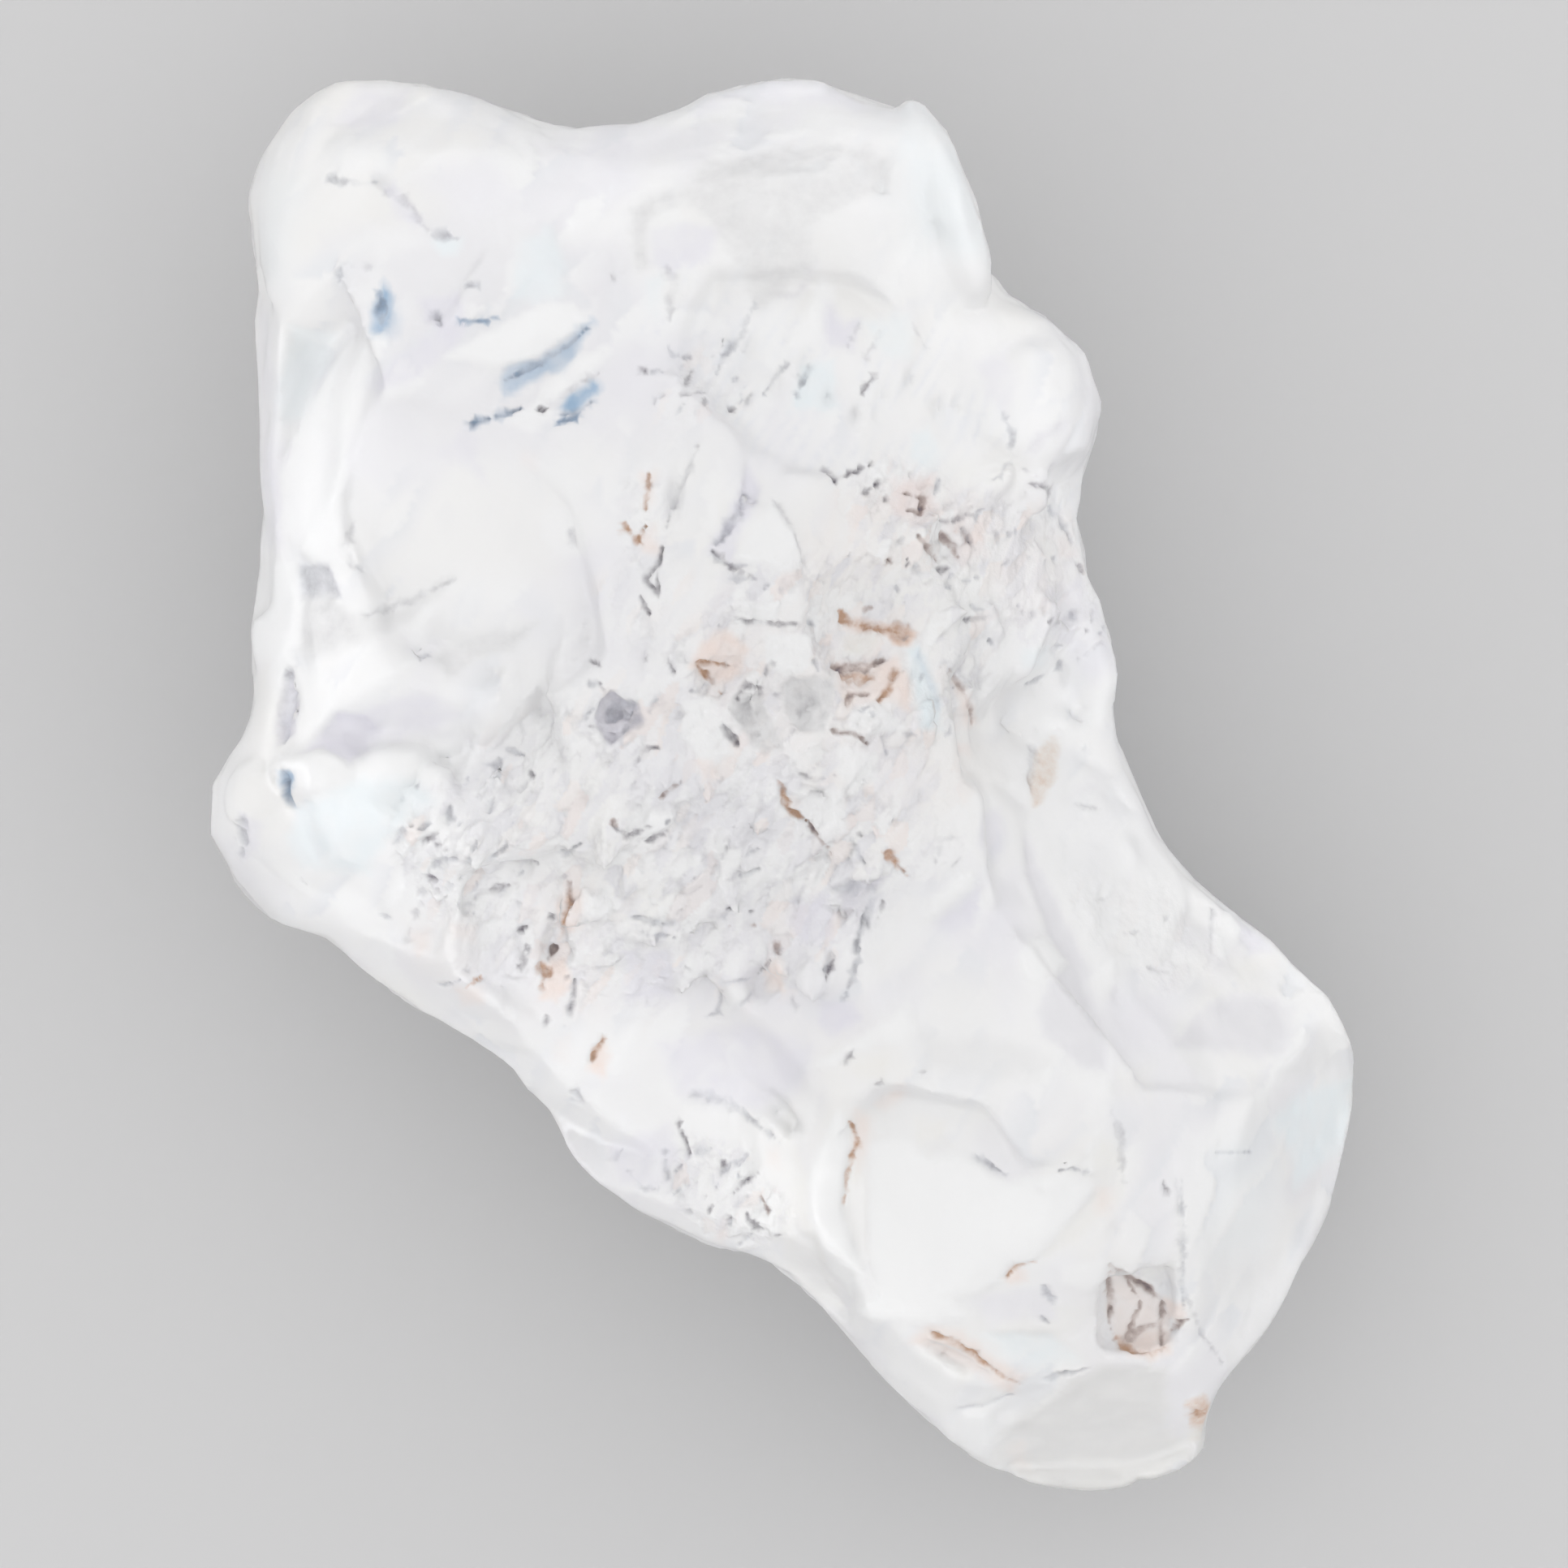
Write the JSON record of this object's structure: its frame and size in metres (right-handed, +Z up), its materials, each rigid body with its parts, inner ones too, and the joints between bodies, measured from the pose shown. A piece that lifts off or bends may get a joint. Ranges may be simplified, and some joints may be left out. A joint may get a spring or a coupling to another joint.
{
  "type": "pollucite crystal",
  "caption": "Glassy colourless pollucite crystal, an etched irregular mass with smooth lobes, that lies on a small flat spot.",
  "frame": {"origin": "on the surface the crystal lies on, under the middle of its bounding box", "axes": "+Z up out of the etched face, +Y along its length towards the two smooth lobes, -Y towards the foot"},
  "size_m": [0.0452, 0.0554, 0.0236],
  "materials": {
    "pollucite": "clear to milky white, glassy on the broken faces and frosted where etched, with rust-stained cracks"
  },
  "bodies": {
    "root": {"pollucite_crystal": "pollucite"}
  },
  "joints": []
}
